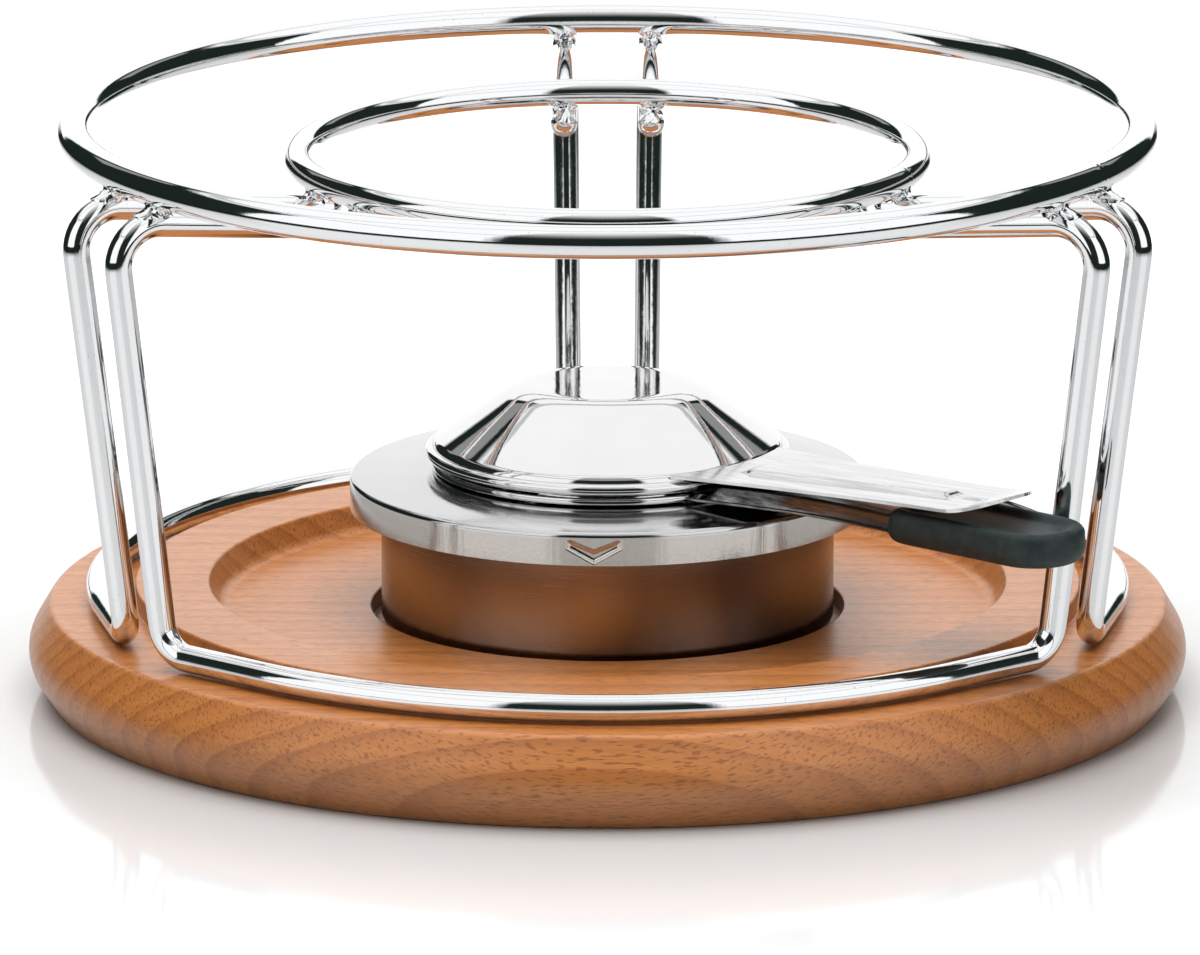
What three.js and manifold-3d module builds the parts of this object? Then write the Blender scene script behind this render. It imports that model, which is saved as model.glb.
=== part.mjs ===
// Table-top réchaud: a turned beech base, a wire pot stand and a paste burner with a
// turning air regulator and a lift-off snuffer. Millimetres, +Z up, origin at the centre
// of the base's underside, +X to the right, -Y towards the front.
import * as THREE from 'three';
import { mergeVertices } from 'three/addons/utils/BufferGeometryUtils.js';
import Module from 'manifold-3d';

const wasm = await Module();
wasm.setup();

// Driving dimensions
const GAP = 0.3;                 // air between pieces that touch on the real object
const WIRE_D = 5.4;              // loop wire and inner ring wire
const RING_WIRE_D = 6.5;         // outer ring wire

const BASE_MAX_R = 115.3;        // widest radius of the base
const BASE_FOOT_R = 111.0;       // radius where the base meets the table
const LEDGE_Z = 18.2;            // ledge that carries the wire stand
const PLATEAU_R = 94;
const PLATEAU_Z = 22.1;
const DISH_R = 78.8;
const DISH_Z = 16.8;
const WELL_R = 47;
const WELL_Z = 13;

const OUTER_RING_R = 105.4;
const OUTER_RING_Z = 113.7;
const INNER_RING_R = 61.3;
const INNER_RING_Z = 107.8;

const LEG_PAIR_AZIMUTHS = [210, 330, 90];
const ARC_R = 101.2;             // bottom arc of each wire loop
const ARM_END_R = 58;            // inner cut end of each arm
const TOP_CORNER_R = 115.3;      // virtual corner between arm and leg
const FOOT_CORNER_R = 104;       // virtual corner between leg and bottom arc
const LEG_OFFSET_TOP = 8.8;      // half the spacing of two neighbouring legs
const LEG_OFFSET_FOOT = 7.9;
const TOP_BEND_R = 8;
const FOOT_BEND_R = 6;

const CUP_R = 45;
const CUP_WALL = 1;
const CUP_RIM_Z = 42;
const CUP_FLANGE_R = 49.7;
const TIN_R = 42.2;
const TIN_WALL = 0.8;
const TIN_TOP_Z = 40;
const TIN_MOUTH_R = 36;

const COVER_R = 51.2;
const COVER_SHEET = 0.8;
const SKIRT_BOTTOM_Z = 36.9;
const COVER_EDGE_Z = 43.5;
const COVER_PLATE_Z = 44.6;
const COVER_FLAT_R = 46;
const COVER_MOUTH_R = 26;
const AIR_HOLE_R = 2.4;
const AIR_HOLE_COUNT = 6;
const AIR_HOLE_CIRCLE_R = 31.2;
const MARK_AZIMUTH = 267;        // V mark pressed into the skirt
const MARK_DEPTH = 0.42;
const MARK_HALF_WIDTH = 5.5;
const MARK_LIFT = 0.5;           // from the skirt's edge up to the V's point

const REGULATOR_SHEET = 1;
const REGULATOR_INNER_R = 26.4;
const REGULATOR_LIP_R = 35;
const REGULATOR_LIP_H = 1.5;

const HANDLE_AZIMUTH = -42;
const CHANNEL_ROOT_ANGLE = 22;   // half the angle that the handle's root spans
const CHANNEL_TOP_Z = 48.7;
const CHANNEL_BOTTOM_Z = 45.5;
const CHANNEL_SHEET = 1;
const GRIP_START = 81;
const GRIP_END = 121;
const GRIP_HALF_WIDTH = 10;
const GRIP_BOTTOM_Z = 44;
const GRIP_TOP_Z = 51;
const TONGUE_END = 108;
const TONGUE_HALF_WIDTH = 5;

const DOME_SHEET = 1;
const DOME_RIM_R = 36.2;
const DOME_RIM_Z = 48.2;
const DOME_BEAD_R = 1.15;        // rolled bead round the rim
const DOME_WALL_R = 34.6;        // short wall between the cone and the bead
const DOME_SLOPE = 34.6;         // of the cone, from the horizontal
const DOME_FLAT_R = 14.1;
const DOME_TOP_BEND_R = 12;
const DOME_WALL_BEND_R = 2.5;
const DOME_TOP_Z = 61.8;
const LID_HANDLE_ROOT = 30;      // the root is cut back to follow the snuffer's wall
const LID_HANDLE_Z = 49.65;      // underside at the root
const LID_HANDLE_TIP = 106;
const LID_HANDLE_SHEET = 1;

const ROUND_STEPS = 40;

const wireR = WIRE_D / 2;
const ringWireR = RING_WIRE_D / 2;
const rad = THREE.MathUtils.degToRad;

// Materials
const beech = new THREE.MeshStandardMaterial({ color: 0xd39a67, roughness: 0.55, metalness: 0 });
const chrome = new THREE.MeshStandardMaterial({ color: 0xe3e6e8, roughness: 0.08, metalness: 1 });
const polishedSteel = new THREE.MeshStandardMaterial({ color: 0xdcdcdc, roughness: 0.12, metalness: 1 });
const brushedSteel = new THREE.MeshStandardMaterial({ color: 0xb9b4ad, roughness: 0.3, metalness: 1 });
const tinPlate = new THREE.MeshStandardMaterial({ color: 0xc6c8ca, roughness: 0.4, metalness: 1 });
const silicone = new THREE.MeshStandardMaterial({ color: 0x20282a, roughness: 0.6, metalness: 0 });

const object = new THREE.Group();
const burner = new THREE.Group();
const handleGroup = new THREE.Group();
handleGroup.rotation.z = rad(HANDLE_AZIMUTH);
burner.add(handleGroup);
object.add(burner);

function addMesh(parent, name, geometry, material) {
  const mesh = new THREE.Mesh(geometry, material);
  mesh.name = name;
  parent.add(mesh);
  return mesh;
}

// A solid of revolution about Z from [radius, height] points that run clockwise
// when seen with the radius to the right and the height upwards.
function turned(points, steps = ROUND_STEPS) {
  const profile = points.map(([r, z]) => new THREE.Vector2(r, z)).reverse();
  const geometry = new THREE.LatheGeometry(profile, steps);
  return geometry.rotateX(Math.PI / 2);
}

// Points on an arc in the profile plane, from one angle to another in degrees.
function arcPoints(centreR, centreZ, radius, fromDeg, toDeg, steps) {
  const points = [];
  for (let i = 0; i <= steps; i += 1) {
    const angle = rad(fromDeg + ((toDeg - fromDeg) * i) / steps);
    points.push([centreR + radius * Math.cos(angle), centreZ + radius * Math.sin(angle)]);
  }
  return points;
}

function toManifold(geometry) {
  const bare = geometry.clone();
  bare.deleteAttribute('normal');
  bare.deleteAttribute('uv');
  const merged = mergeVertices(bare, 1e-4);
  return new wasm.Manifold(new wasm.Mesh({
    numProp: 3,
    vertProperties: new Float32Array(merged.attributes.position.array),
    triVerts: new Uint32Array(merged.index.array),
  }));
}

function fromManifold(solid) {
  const mesh = solid.getMesh();
  const geometry = new THREE.BufferGeometry();
  geometry.setAttribute('position', new THREE.BufferAttribute(mesh.vertProperties, 3));
  geometry.setIndex(new THREE.BufferAttribute(mesh.triVerts, 1));
  return geometry;
}

// Wood base: bulged side, ledge for the wires, raised plateau, dish and burner well
function woodBase() {
  const side = arcPoints(BASE_MAX_R - 14, 8.5, 14, -38, 38, 6);
  return turned([
    [0, WELL_Z],
    [WELL_R, WELL_Z],
    [WELL_R, DISH_Z - 0.5],
    [WELL_R + 0.5, DISH_Z],
    [DISH_R - 3.6, DISH_Z],
    ...arcPoints(DISH_R - 3.6, DISH_Z + 2.6, 2.6, -90, -12, 3),
    ...arcPoints(DISH_R + 0.6, PLATEAU_Z - 1, 1, 180, 90, 2),
    ...arcPoints(PLATEAU_R - 1, PLATEAU_Z - 1, 1, 90, 0, 2),
    [PLATEAU_R, LEDGE_Z],
    [BASE_MAX_R - 6.5, LEDGE_Z],
    ...side.reverse(),
    [BASE_FOOT_R, 0],
    [0, 0],
  ], 48);
}

// A wire's centre line as stations; the extrusion steps land exactly on them.
class WirePath extends THREE.Curve {
  constructor(stations) {
    super();
    this.stations = stations;
  }

  station(u) {
    return Math.round(u * (this.stations.length - 1));
  }

  getPointAt(u) {
    return this.stations[this.station(u)].clone();
  }

  getTangentAt(u) {
    const i = this.station(u);
    const before = this.stations[Math.max(i - 1, 0)];
    const after = this.stations[Math.min(i + 1, this.stations.length - 1)];
    return after.clone().sub(before).normalize();
  }
}

function wireGeometry(stations, radius, sides = 10) {
  const section = new THREE.Shape();
  section.absarc(0, 0, radius, 0, Math.PI * 2, false);
  return new THREE.ExtrudeGeometry(section, {
    steps: stations.length - 1,
    curveSegments: sides / 2,
    extrudePath: new WirePath(stations),
    bevelEnabled: false,
  });
}

// Rounds the corner at b of the path a-b-c, returning the points of the bend.
function bend(a, b, c, radius, steps) {
  const toA = a.clone().sub(b).normalize();
  const toC = c.clone().sub(b).normalize();
  const half = Math.acos(toA.dot(toC)) / 2;
  const centre = toA.clone().add(toC).normalize().multiplyScalar(radius / Math.sin(half)).add(b);
  const start = toA.clone().multiplyScalar(radius / Math.tan(half)).add(b).sub(centre);
  const end = toC.clone().multiplyScalar(radius / Math.tan(half)).add(b).sub(centre);
  const sweep = Math.PI - 2 * half;
  const points = [];
  for (let i = 0; i <= steps; i += 1) {
    const t = i / steps;
    const fromStart = Math.sin((1 - t) * sweep) / Math.sin(sweep);
    const fromEnd = Math.sin(t * sweep) / Math.sin(sweep);
    points.push(start.clone().multiplyScalar(fromStart).addScaledVector(end, fromEnd).add(centre));
  }
  return points;
}

// Wire stand. A point of a leg pair: along the pair's azimuth, across it, and up.
function pairPoint(azimuth, along, across, z) {
  const a = rad(azimuth);
  return new THREE.Vector3(
    along * Math.cos(a) - across * Math.sin(a),
    along * Math.sin(a) + across * Math.cos(a),
    z,
  );
}

const outerRest = OUTER_RING_Z - ringWireR - GAP - wireR;
const innerRest = INNER_RING_Z - wireR - GAP - wireR;
const armSlope = (outerRest - innerRest) / (OUTER_RING_R - INNER_RING_R);

function armHeight(along) {
  return innerRest + armSlope * (along - INNER_RING_R);
}

// One loop runs from an arm's end out, down its leg, round the base to the next pair of
// legs and back up. side is +1 or -1: on which side of the pair's azimuth the leg stands.
function legPoints(azimuth, side) {
  return [
    pairPoint(azimuth, ARM_END_R, side * LEG_OFFSET_TOP, armHeight(ARM_END_R)),
    pairPoint(azimuth, TOP_CORNER_R, side * LEG_OFFSET_TOP, armHeight(TOP_CORNER_R)),
    pairPoint(azimuth, FOOT_CORNER_R, side * LEG_OFFSET_FOOT, LEDGE_Z + GAP + wireR),
  ];
}

function loopStations(fromAzimuth, toAzimuth) {
  const [startEnd, startTop, startFoot] = legPoints(fromAzimuth, 1);
  const [finishEnd, finishTop, finishFoot] = legPoints(toAzimuth, -1);
  const footR = Math.hypot(startFoot.x, startFoot.y);
  const straightAngle = Math.acos(ARC_R / footR);
  const arcStart = Math.atan2(startFoot.y, startFoot.x) + straightAngle;
  let arcEnd = Math.atan2(finishFoot.y, finishFoot.x) - straightAngle;
  if (arcEnd < arcStart) {
    arcEnd += Math.PI * 2;
  }
  const arc = [];
  const arcSteps = 16;
  for (let i = 0; i <= arcSteps; i += 1) {
    const a = arcStart + ((arcEnd - arcStart) * i) / arcSteps;
    arc.push(new THREE.Vector3(ARC_R * Math.cos(a), ARC_R * Math.sin(a), startFoot.z));
  }
  return [
    startEnd,
    ...bend(startEnd, startTop, startFoot, TOP_BEND_R, 6),
    ...bend(startTop, startFoot, arc[0], FOOT_BEND_R, 5),
    ...arc,
    ...bend(arc[arcSteps], finishFoot, finishTop, FOOT_BEND_R, 5),
    ...bend(finishFoot, finishTop, finishEnd, TOP_BEND_R, 6),
    finishEnd,
  ];
}

// Burner cup with an outward flange at its mouth
function burnerCup() {
  const bottom = WELL_Z + GAP;
  const inner = CUP_R - CUP_WALL;
  const floor = bottom + CUP_WALL;
  return turned([
    [0, floor],
    [inner - 2, floor],
    [inner - 0.6, floor + 0.6],
    [inner, floor + 2],
    [inner, CUP_RIM_Z],
    [CUP_FLANGE_R, CUP_RIM_Z],
    [CUP_FLANGE_R, CUP_RIM_Z - CUP_WALL],
    [CUP_R, CUP_RIM_Z - CUP_WALL],
    [CUP_R, bottom + 2.4],
    [CUP_R - 0.7, bottom + 0.7],
    [CUP_R - 2.4, bottom],
    [0, bottom],
  ]);
}

// Fuel tin that stands in the cup, with an inward lip round its mouth
function fuelTin() {
  const bottom = WELL_Z + GAP + CUP_WALL + GAP;
  const inner = TIN_R - TIN_WALL;
  return turned([
    [0, bottom + TIN_WALL],
    [inner, bottom + TIN_WALL],
    [inner, TIN_TOP_Z - TIN_WALL],
    [TIN_MOUTH_R, TIN_TOP_Z - TIN_WALL],
    [TIN_MOUTH_R, TIN_TOP_Z],
    [TIN_R, TIN_TOP_Z],
    [TIN_R, bottom + 1],
    [TIN_R - 1, bottom],
    [0, bottom],
  ], 48);
}

// Drills the circle of air holes through a flat sheet at a height
function drillAirHoles(solid, z) {
  let drilled = solid;
  for (let i = 0; i < AIR_HOLE_COUNT; i += 1) {
    const angle = (i / AIR_HOLE_COUNT) * Math.PI * 2;
    const drill = new THREE.CylinderGeometry(AIR_HOLE_R, AIR_HOLE_R, 4, 12);
    drill.rotateX(Math.PI / 2);
    drill.translate(AIR_HOLE_CIRCLE_R * Math.cos(angle), AIR_HOLE_CIRCLE_R * Math.sin(angle), z);
    drilled = drilled.subtract(toManifold(drill));
  }
  return drilled;
}

// The position mark's V as a prism that reaches through the skirt, grown on every side
function markPrism(grown) {
  const wide = MARK_HALF_WIDTH + grown;
  const shape = new THREE.Shape();
  shape.moveTo(0, -grown);
  shape.lineTo(wide, 2.8 - grown);
  shape.lineTo(wide, 5 + grown);
  shape.lineTo(0, 3 + grown);
  shape.lineTo(-wide, 5 + grown);
  shape.lineTo(-wide, 2.8 - grown);
  const reach = 8;
  const geometry = new THREE.ExtrudeGeometry(shape, { depth: reach, bevelEnabled: false });
  geometry.rotateX(Math.PI / 2);
  geometry.translate(0, -(COVER_R - reach / 2), SKIRT_BOTTOM_Z + MARK_LIFT);
  geometry.rotateZ(rad(MARK_AZIMUTH - 270));
  return toManifold(geometry);
}

// Part of the mark's prism that lies between two radii
function markBand(grown, innerR, outerR) {
  const bottom = SKIRT_BOTTOM_Z;
  const top = COVER_EDGE_Z;
  const band = turned([[innerR, bottom], [innerR, top], [outerR, top], [outerR, bottom], [innerR, bottom]]);
  return markPrism(grown).intersect(toManifold(band));
}

// Burner cover: plate with a mouth, a sloping border and a skirt over the cup's flange.
// The mark is pressed in: a dent outside and the same sheet standing in behind it.
function burnerCover() {
  const t = COVER_SHEET;
  const edge = 1.2;
  const shell = turned([
    [COVER_MOUTH_R, COVER_PLATE_Z - t],
    [COVER_MOUTH_R, COVER_PLATE_Z],
    [COVER_FLAT_R, COVER_PLATE_Z],
    [COVER_FLAT_R + 0.4, COVER_EDGE_Z + 0.6],
    ...arcPoints(COVER_R - edge, COVER_EDGE_Z - edge + 0.3, edge, 90, 0, 3),
    [COVER_R, SKIRT_BOTTOM_Z],
    [COVER_R - t, SKIRT_BOTTOM_Z],
    [COVER_R - t, COVER_EDGE_Z - 0.8],
    [COVER_FLAT_R, COVER_PLATE_Z - t],
    [COVER_MOUTH_R, COVER_PLATE_Z - t],
  ]);
  const backing = markBand(0.4, COVER_R - t - MARK_DEPTH + 0.04, COVER_R - t + 0.1);
  const dent = markBand(0, COVER_R - MARK_DEPTH, COVER_R + 1);
  const solid = toManifold(shell).add(backing).subtract(dent);
  return fromManifold(drillAirHoles(solid, COVER_PLATE_Z));
}

// Eyelet pressed through the cover's mouth, which holds the regulator down
function coverCollar() {
  const tube = COVER_MOUTH_R - GAP;
  const plateBottom = COVER_PLATE_Z - COVER_SHEET;
  const regulatorTop = COVER_PLATE_Z + GAP + REGULATOR_SHEET;
  const lip = 1.8;
  return turned([
    [tube - 1.2, plateBottom - GAP - 0.8],
    [tube - 1.2, regulatorTop + GAP + 0.8],
    [tube + lip, regulatorTop + GAP + 0.6],
    [tube + lip, regulatorTop + GAP],
    [tube, regulatorTop + GAP],
    [tube, plateBottom - GAP],
    [tube + lip, plateBottom - GAP],
    [tube + lip, plateBottom - GAP - 0.8],
    [tube - 1.2, plateBottom - GAP - 0.8],
  ]);
}

// Regulator: a flat ring with air holes and an upturned lip
function regulatorRing() {
  const bottom = COVER_PLATE_Z + GAP;
  const top = bottom + REGULATOR_SHEET;
  const disc = turned([
    [REGULATOR_INNER_R, bottom],
    [REGULATOR_INNER_R, top],
    [REGULATOR_LIP_R - 0.9, top],
    [REGULATOR_LIP_R - 0.9, bottom + REGULATOR_LIP_H],
    [REGULATOR_LIP_R, bottom + REGULATOR_LIP_H],
    [REGULATOR_LIP_R, bottom + 0.4],
    [REGULATOR_LIP_R - 0.4, bottom],
    [REGULATOR_INNER_R, bottom],
  ]);
  return fromManifold(drillAirHoles(toManifold(disc), bottom));
}

// Half width of the regulator's handle at a distance from the axis
function channelHalfWidth(along) {
  const root = (REGULATOR_LIP_R + GAP) * Math.sin(rad(CHANNEL_ROOT_ANGLE));
  const narrow = 7;
  const t = THREE.MathUtils.clamp((along - 35) / (GRIP_START - 45), 0, 1);
  return root + (narrow - root) * t * (2 - t);
}

// Plan outline of the handle: its root follows the regulator's lip
function channelOutline(tongue) {
  const rootR = REGULATOR_LIP_R + GAP;
  const end = GRIP_START - GAP;
  const edge = [];
  const steps = 8;
  const rootX = rootR * Math.cos(rad(CHANNEL_ROOT_ANGLE));
  for (let i = 0; i <= steps; i += 1) {
    const along = rootX + ((end - rootX) * i) / steps;
    edge.push([along, channelHalfWidth(along)]);
  }
  if (tongue) {
    edge.push([end, TONGUE_HALF_WIDTH]);
    edge.push([TONGUE_END - 2, TONGUE_HALF_WIDTH]);
    edge.push([TONGUE_END, TONGUE_HALF_WIDTH - 2]);
  }
  const root = arcPoints(0, 0, rootR, -CHANNEL_ROOT_ANGLE, CHANNEL_ROOT_ANGLE, 6);
  const outline = [
    ...edge,
    ...edge.map(([x, y]) => [x, -y]).reverse(),
    ...root.slice(1, -1),
  ];
  return new THREE.Shape(outline.map(([x, y]) => new THREE.Vector2(x, y)));
}

function prism(shape, bottom, top) {
  const geometry = new THREE.ExtrudeGeometry(shape, { depth: top - bottom, bevelEnabled: false });
  return geometry.translate(0, 0, bottom);
}

// Regulator handle: a channel pressed from sheet, whose tongue runs into the grip. Its root
// is notched to pass under the snuffer's rim.
function regulatorHandle() {
  const body = toManifold(prism(channelOutline(false), CHANNEL_BOTTOM_Z, CHANNEL_TOP_Z));
  const underside = CHANNEL_TOP_Z - CHANNEL_SHEET;
  const hollowShape = new THREE.Shape();
  const start = REGULATOR_LIP_R - 6;
  const steps = 8;
  const upper = [];
  for (let i = 0; i <= steps; i += 1) {
    const along = start + ((GRIP_START + 2 - start) * i) / steps;
    upper.push([along, channelHalfWidth(along) - CHANNEL_SHEET]);
  }
  const outline = [...upper, ...upper.map(([x, y]) => [x, -y]).reverse()];
  hollowShape.setFromPoints(outline.map(([x, y]) => new THREE.Vector2(x, y)));
  const hollow = toManifold(prism(hollowShape, CHANNEL_BOTTOM_Z - 1, underside));
  const tongue = toManifold(prism(channelOutline(true), underside, CHANNEL_TOP_Z));
  const room = DOME_RIM_R + GAP;
  const notchBottom = DOME_RIM_Z - DOME_BEAD_R - GAP;
  const notch = turned([
    [0, notchBottom],
    [0, DOME_TOP_Z],
    [room, DOME_TOP_Z],
    [room, notchBottom],
    [0, notchBottom],
  ]);
  return fromManifold(body.subtract(hollow).add(tongue).subtract(toManifold(notch)));
}

// Grip outline in plan: a straight neck, a full round end
function gripOutline(start, end, halfWidth, corner) {
  const shape = new THREE.Shape();
  shape.moveTo(start + corner, -halfWidth);
  shape.lineTo(end - halfWidth, -halfWidth);
  shape.absarc(end - halfWidth, 0, halfWidth, -Math.PI / 2, Math.PI / 2, false);
  shape.lineTo(start + corner, halfWidth);
  shape.quadraticCurveTo(start, halfWidth, start, halfWidth - corner);
  shape.lineTo(start, -halfWidth + corner);
  shape.quadraticCurveTo(start, -halfWidth, start + corner, -halfWidth);
  return shape;
}

// Silicone grip: rounded paddle, dished on top, with a pocket for the handle's tongue
function siliconeGrip() {
  const bevel = 2;
  const shape = gripOutline(GRIP_START + bevel, GRIP_END - bevel, GRIP_HALF_WIDTH - bevel, 1.5);
  const paddle = new THREE.ExtrudeGeometry(shape, {
    depth: GRIP_TOP_Z - GRIP_BOTTOM_Z - 2 * bevel,
    bevelEnabled: true,
    bevelSize: bevel,
    bevelThickness: bevel,
    bevelSegments: 2,
    curveSegments: 8,
  });
  paddle.translate(0, 0, GRIP_BOTTOM_Z + bevel);
  const dishDepth = 0.8;
  const dish = prism(
    gripOutline(GRIP_START + 6, GRIP_END - 4.5, GRIP_HALF_WIDTH - 3.5, 2),
    GRIP_TOP_Z - dishDepth,
    GRIP_TOP_Z + 2,
  );
  const pocketShape = new THREE.Shape();
  pocketShape.moveTo(GRIP_START - 4, -TONGUE_HALF_WIDTH - GAP);
  pocketShape.lineTo(TONGUE_END + GAP, -TONGUE_HALF_WIDTH - GAP);
  pocketShape.lineTo(TONGUE_END + GAP, TONGUE_HALF_WIDTH + GAP);
  pocketShape.lineTo(GRIP_START - 4, TONGUE_HALF_WIDTH + GAP);
  const pocket = prism(pocketShape, CHANNEL_TOP_Z - CHANNEL_SHEET - GAP, CHANNEL_TOP_Z + GAP);
  const solid = toManifold(paddle).subtract(toManifold(dish)).subtract(toManifold(pocket));
  return fromManifold(solid);
}

// Snuffer: a flat top, a cone, a short wall and a rolled bead round its rim. The sheet's
// outer face and its inner face are the same bends, one sheet thickness apart.
function snufferDome() {
  const t = DOME_SHEET;
  const beadR = DOME_RIM_R - DOME_BEAD_R;
  const topBendZ = DOME_TOP_Z - DOME_TOP_BEND_R;
  const coneStart = 90 - DOME_SLOPE;
  const wallBendR = DOME_WALL_R - DOME_WALL_BEND_R;
  const wallBendZ = 48.9;
  const outer = [
    [0, DOME_TOP_Z],
    ...arcPoints(DOME_FLAT_R, topBendZ, DOME_TOP_BEND_R, 90, coneStart, 4),
    ...arcPoints(wallBendR, wallBendZ, DOME_WALL_BEND_R, coneStart, 0, 3),
  ];
  const bead = arcPoints(beadR, DOME_RIM_Z, DOME_BEAD_R, 96, -180, 8);
  const inner = [
    ...arcPoints(wallBendR, wallBendZ, DOME_WALL_BEND_R - t, 0, coneStart, 2),
    ...arcPoints(DOME_FLAT_R, topBendZ, DOME_TOP_BEND_R - t, coneStart, 90, 3),
    [0, DOME_TOP_Z - t],
  ];
  return turned([...outer, ...bead, ...inner]);
}

// Height of the snuffer handle's underside at a distance from the axis
function lidHandleUnderside(along) {
  const rise = 0.045 * (along - LID_HANDLE_ROOT);
  const lift = Math.max(0, along - 96);
  return LID_HANDLE_Z + rise + 0.018 * lift * lift;
}

function lidHandleHalfWidth(along) {
  const root = 15.6;
  const middle = 10.6;
  const t = THREE.MathUtils.clamp((along - LID_HANDLE_ROOT) / (92 - LID_HANDLE_ROOT), 0, 1);
  const body = root + (middle - root) * t * (1.9 - 0.9 * t);
  const tipLength = 8.5;
  const toTip = THREE.MathUtils.clamp((LID_HANDLE_TIP - along) / tipLength, 0, 1);
  return body * Math.sqrt(1 - (1 - toTip) ** 2) + 0.4;
}

// Snuffer handle: a tapering strip with a raised panel, swept along its length, its root
// cut to the snuffer's wall. A section's corners go round the strip: bottom from one edge to the other, then back along the top.
function snufferHandle() {
  const stations = [LID_HANDLE_ROOT, 36, 41, 42, 50, 60, 70, 80, 90, 91, 95, 98, 100.5, 103, 104.8, LID_HANDLE_TIP];
  const ridge = 0.7;
  const positions = [];
  const corners = 8;
  for (const along of stations) {
    const half = lidHandleHalfWidth(along);
    const bottom = lidHandleUnderside(along);
    const top = bottom + LID_HANDLE_SHEET;
    const ridgeTop = top + (along > 41 && along < 91 ? ridge : 0);
    const ridgeHalf = Math.min(7 - 0.1 * (along - 42), half * 0.5);
    positions.push(
      [along, -half, bottom],
      [along, half, bottom],
      [along, half, top],
      [along, ridgeHalf + 0.6, top],
      [along, ridgeHalf, ridgeTop],
      [along, -ridgeHalf, ridgeTop],
      [along, -ridgeHalf - 0.6, top],
      [along, -half, top],
    );
  }
  const index = [];
  for (let s = 0; s < stations.length - 1; s += 1) {
    for (let c = 0; c < corners; c += 1) {
      const next = (c + 1) % corners;
      const a = s * corners + c;
      const b = s * corners + next;
      index.push(a, b, a + corners, b, b + corners, a + corners);
    }
  }
  const last = (stations.length - 1) * corners;
  for (const [a, b, c] of [[0, 7, 6], [0, 6, 3], [6, 5, 3], [5, 4, 3], [0, 3, 1], [1, 3, 2]]) {
    index.push(a, b, c);
    index.push(last + a, last + c, last + b);
  }
  const geometry = new THREE.BufferGeometry();
  geometry.setAttribute('position', new THREE.Float32BufferAttribute(positions.flat(), 3));
  geometry.setIndex(index);
  const wall = new THREE.CylinderGeometry(DOME_WALL_R + GAP, DOME_WALL_R + GAP, 20, ROUND_STEPS);
  wall.rotateX(Math.PI / 2).translate(0, 0, LID_HANDLE_Z);
  return fromManifold(toManifold(geometry).subtract(toManifold(wall)));
}

addMesh(object, 'wood_base', woodBase(), beech);
['front_loop', 'back_right_loop', 'back_left_loop'].forEach((name, i) => {
  const stations = loopStations(LEG_PAIR_AZIMUTHS[i], LEG_PAIR_AZIMUTHS[(i + 1) % 3]);
  addMesh(object, name, wireGeometry(stations, wireR), chrome);
});

const outerTorus = new THREE.TorusGeometry(OUTER_RING_R, ringWireR, 10, 56);
addMesh(object, 'outer_ring', outerTorus.translate(0, 0, OUTER_RING_Z), chrome);
const innerTorus = new THREE.TorusGeometry(INNER_RING_R, wireR, 10, 40);
addMesh(object, 'inner_ring', innerTorus.translate(0, 0, INNER_RING_Z), chrome);

addMesh(burner, 'burner_cup', burnerCup(), brushedSteel);
addMesh(burner, 'fuel_tin', fuelTin(), tinPlate);
addMesh(burner, 'burner_cover', burnerCover(), polishedSteel);
addMesh(burner, 'cover_collar', coverCollar(), polishedSteel);
addMesh(burner, 'regulator_ring', regulatorRing(), polishedSteel);
addMesh(burner, 'snuffer_dome', snufferDome(), polishedSteel);
addMesh(handleGroup, 'regulator_handle', regulatorHandle(), polishedSteel);
addMesh(handleGroup, 'silicone_grip', siliconeGrip(), silicone);
addMesh(handleGroup, 'snuffer_handle', snufferHandle(), polishedSteel);

export default object;
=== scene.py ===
"""Looks of the table-top rechaud: beech base, chromed wire stand, paste burner and snuffer.

Blender works in metres. Sizes below are millimetres, in the frame of the CAD part:
+Z up, origin at the centre of the base's underside, -Y towards the front.
"""
import math

import bmesh
import bpy
from mathutils import Matrix, Vector, noise


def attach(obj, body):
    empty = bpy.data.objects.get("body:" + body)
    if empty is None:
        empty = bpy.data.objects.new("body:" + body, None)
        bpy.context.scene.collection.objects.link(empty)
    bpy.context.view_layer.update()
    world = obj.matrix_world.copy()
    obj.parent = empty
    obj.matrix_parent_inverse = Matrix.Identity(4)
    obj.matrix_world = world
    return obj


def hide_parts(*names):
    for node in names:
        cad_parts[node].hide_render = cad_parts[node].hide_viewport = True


MM = 0.001
UP = Vector((0, 0, 1))

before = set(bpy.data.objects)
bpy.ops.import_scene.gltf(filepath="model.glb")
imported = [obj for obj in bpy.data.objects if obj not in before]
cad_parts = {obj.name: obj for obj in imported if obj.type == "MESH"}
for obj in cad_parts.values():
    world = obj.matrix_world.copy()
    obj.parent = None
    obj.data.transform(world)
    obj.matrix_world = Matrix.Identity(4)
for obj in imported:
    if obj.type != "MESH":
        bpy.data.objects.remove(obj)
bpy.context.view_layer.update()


def span(node, azimuth=0.0):
    """Lowest and highest corner of a CAD node in millimetres, seen along an azimuth in degrees."""
    turn = Matrix.Rotation(math.radians(-azimuth), 3, "Z")
    points = [turn @ v.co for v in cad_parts[node].data.vertices]
    low = Vector([min(p[i] for p in points) for i in range(3)]) / MM
    high = Vector([max(p[i] for p in points) for i in range(3)]) / MM
    return low, high


# ---------------------------------------------------------------- sizes taken from the frame
HANDLE_AZIMUTH = -42.0
BASE = span("wood_base")
OUTER_RING = span("outer_ring")
INNER_RING = span("inner_ring")
CUP = span("burner_cup")
TIN = span("fuel_tin")
COVER = span("burner_cover")
COLLAR = span("cover_collar")
REGULATOR = span("regulator_ring")
DOME = span("snuffer_dome")
CHANNEL = span("regulator_handle", HANDLE_AZIMUTH)
GRIP = span("silicone_grip", HANDLE_AZIMUTH)
STRIP = span("snuffer_handle", HANDLE_AZIMUTH)

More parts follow.
